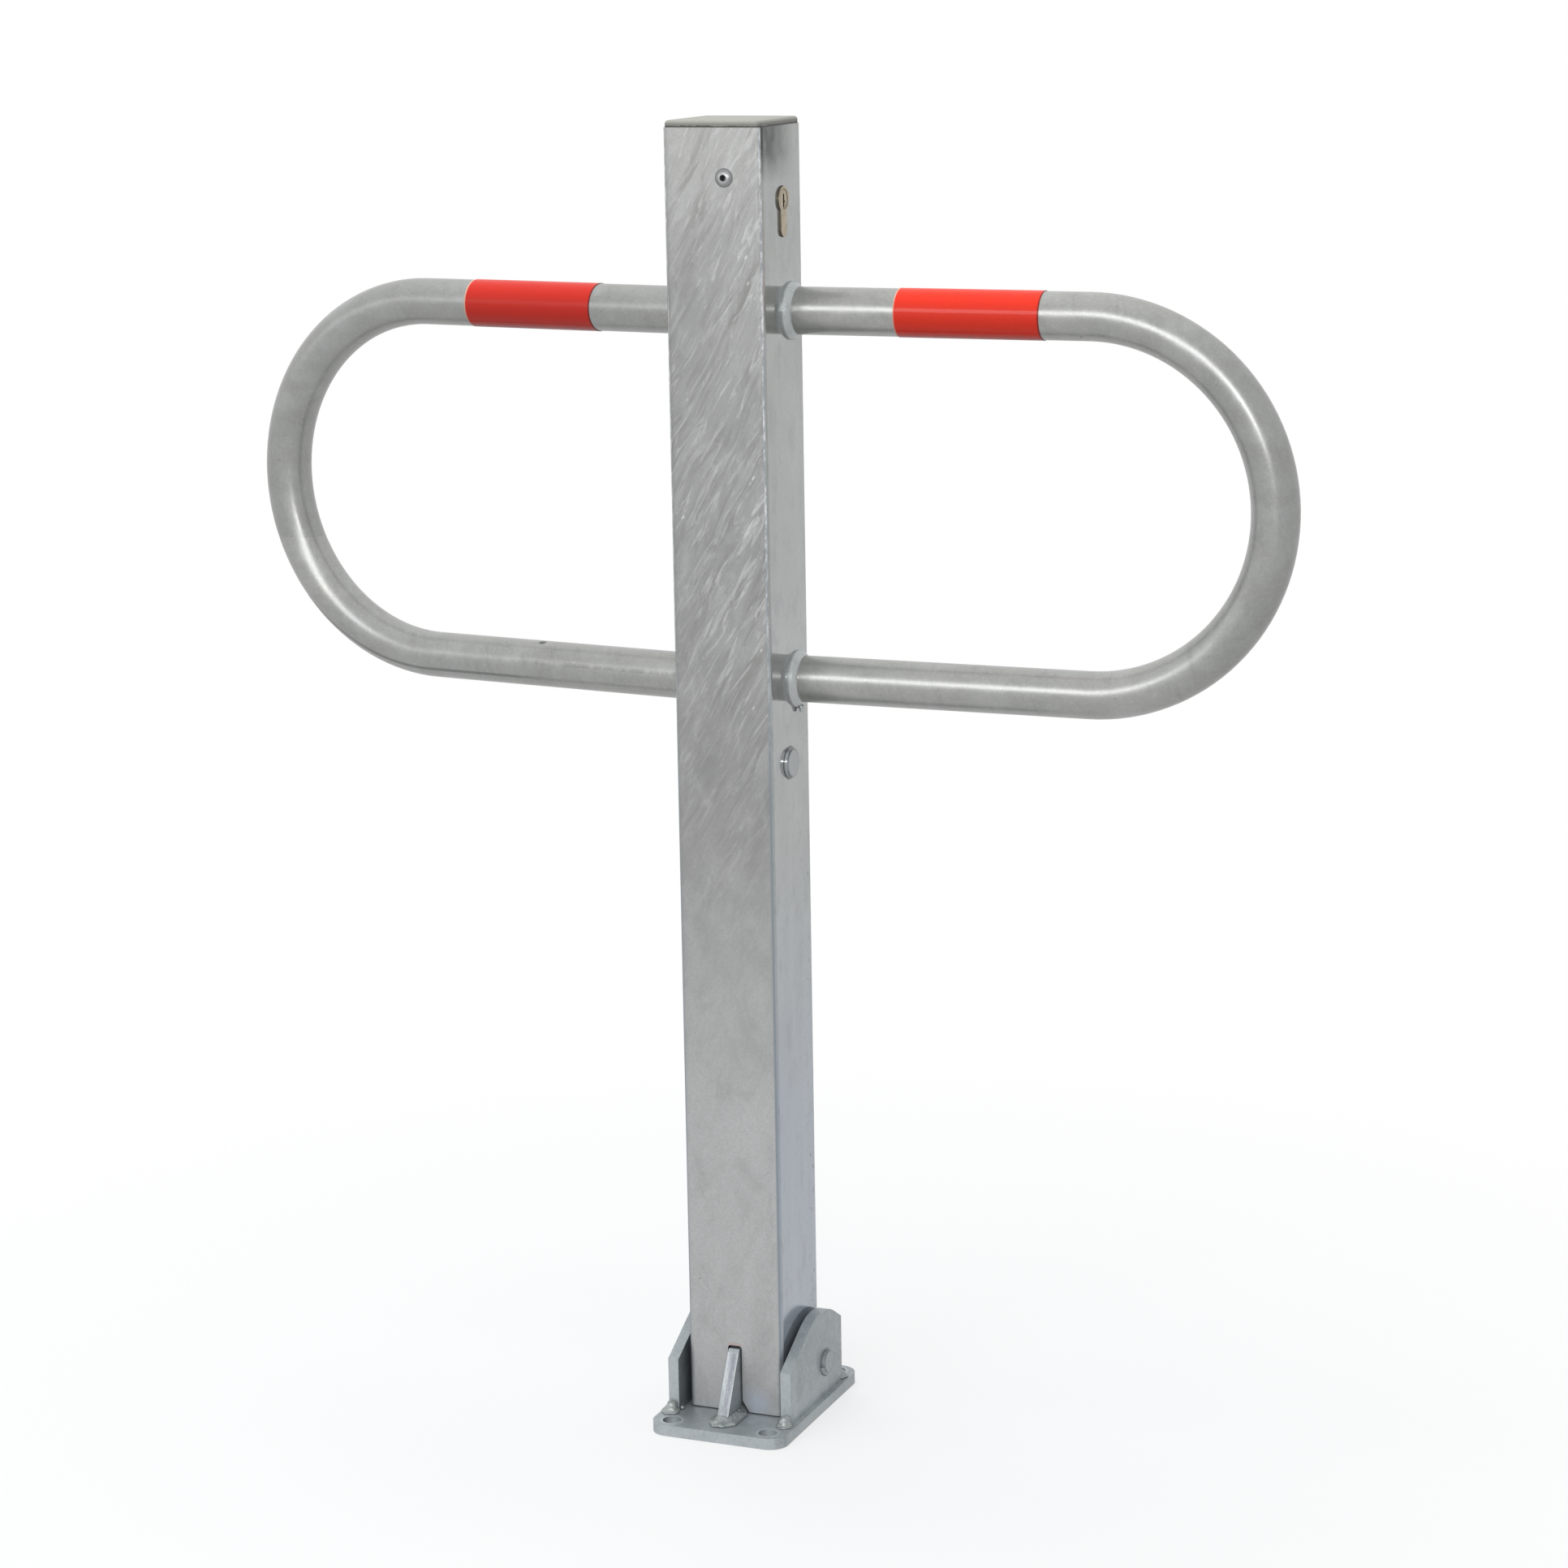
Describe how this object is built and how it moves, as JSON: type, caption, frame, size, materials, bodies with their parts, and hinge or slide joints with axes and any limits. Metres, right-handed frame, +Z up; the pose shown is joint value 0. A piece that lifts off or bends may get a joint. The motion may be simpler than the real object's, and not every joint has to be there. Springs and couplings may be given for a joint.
{
  "type": "folding parking barrier",
  "caption": "Folding parking post with two tube loops, hinged between two cheeks on a base plate and locked upright by a profile half cylinder.",
  "frame": {"origin": "centre of the base plate's underside, on the ground", "axes": "+Z up along the post; +X to the side with the lock cylinder; the front face looks to -Y and the post folds back towards +Y"},
  "size_m": [0.7622, 0.15, 0.8966],
  "materials": {
    "post_zinc": "hot-dip galvanised, dull",
    "loop_zinc": "hot-dip galvanised, satin",
    "base_zinc": "hot-dip galvanised, matt",
    "weld_zinc": "galvanised weld bead",
    "rivet_steel": "dull zinc",
    "inner_steel": "bright zinc plated",
    "lock_nickel": "matt nickel on brass",
    "cap_plastic": "moulded, matt",
    "red_film": "reflective film"
  },
  "bodies": {
    "base": {"base_plate": "base_zinc", "cheek_left": "base_zinc", "cheek_right": "base_zinc", "catch_plate": "base_zinc", "cheek_welds": "weld_zinc", "catch_weld": "weld_zinc", "hinge_pin": "base_zinc", "pin_tacks": "weld_zinc", "pivot_washers": "inner_steel"},
    "post": {"post_tube": "post_zinc", "top_cap": "cap_plastic", "loop_left": "loop_zinc", "loop_right": "loop_zinc", "loop_welds": "weld_zinc", "band_left": "red_film", "band_right": "red_film", "pivot_sleeve": "inner_steel", "guide_pin": "post_zinc", "guide_plate": "inner_steel", "lock_carrier": "inner_steel", "blind_rivet": "rivet_steel", "cylinder_body": "lock_nickel", "cylinder_screw": "inner_steel"},
    "plug": {"cylinder_plug": "lock_nickel", "cylinder_cam": "inner_steel"},
    "bolt": {"lock_rod": "inner_steel", "bolt_foot": "inner_steel", "foot_pin": "inner_steel"}
  },
  "joints": [
    {"name": "post_fold", "type": "hinge", "parent": "base", "child": "post", "pos_m": [0, 0.0195, 0.032], "axis": [-1, 0, 0], "range_deg": [0, 89]},
    {"name": "plug_turn", "type": "hinge", "parent": "post", "child": "plug", "pos_m": [0.02, 0, 0.844], "axis": [1, 0, 0], "range_deg": [0, 90]},
    {"name": "bolt_slide", "type": "slide", "parent": "post", "child": "bolt", "axis": [0, 0, -1], "range_m": [0, 0.014]}
  ],
  "couplings": [
    {"joint": "plug_turn", "follows": "bolt_slide", "rad_per_m": 112.19}
  ]
}
